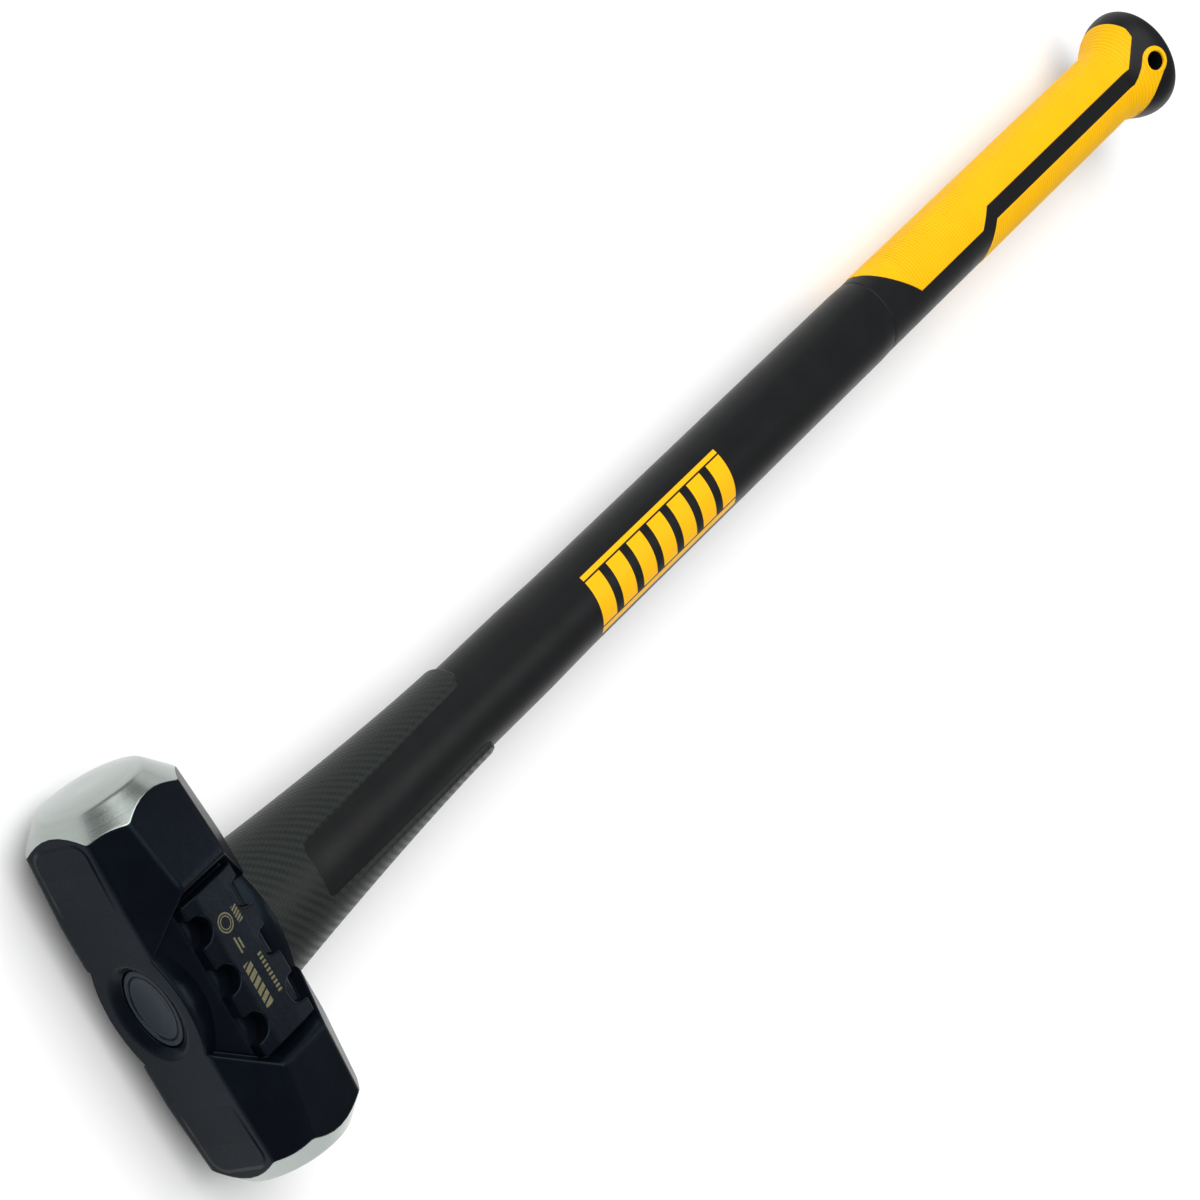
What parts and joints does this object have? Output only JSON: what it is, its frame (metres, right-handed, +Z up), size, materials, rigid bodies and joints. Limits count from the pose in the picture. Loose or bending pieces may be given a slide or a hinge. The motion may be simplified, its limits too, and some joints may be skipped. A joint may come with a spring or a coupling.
{
  "type": "sledgehammer",
  "caption": "Long-handled sledgehammer with a waisted octagonal steel head, overstrike guard, straight shaft, ribbed grip and a flared butt with a tether hole.",
  "frame": {"origin": "on the floor under the middle of the hammer's length, as it lies on one cheek of its head", "axes": "+X along the head towards the narrow panel's side, +Y from the head to the butt, +Z up out of the upper cheek"},
  "size_m": [0.178, 0.89, 0.0724],
  "materials": {
    "head_paint": "satin blue-black paint on forged steel, with bare turned striking faces and bevels",
    "cap_plastic": "fine-grained dark plastic",
    "resin": "cast amber resin",
    "dam_rubber": "soft black foam rubber",
    "fibreglass": "pultruded fibreglass with long strands",
    "shaft_plastic": "satin black moulded polymer with a printed label",
    "guard_weave": "dark grey-green woven twill under satin resin",
    "grip_black": "satin black grip rubber",
    "grip_yellow": "yellow grip rubber with fine cross ribs"
  },
  "bodies": {
    "root": {"head": "head_paint", "eye_cap": "cap_plastic", "eye_resin": "resin", "eye_dam_ring": "dam_rubber", "core_rod": "fibreglass", "shaft_jacket": "shaft_plastic", "overstrike_guard": "guard_weave", "grip_sleeve": "grip_black", "butt_knob": "grip_black", "grip_panel_wide": "grip_yellow", "grip_panel_narrow": "grip_yellow"}
  },
  "joints": []
}
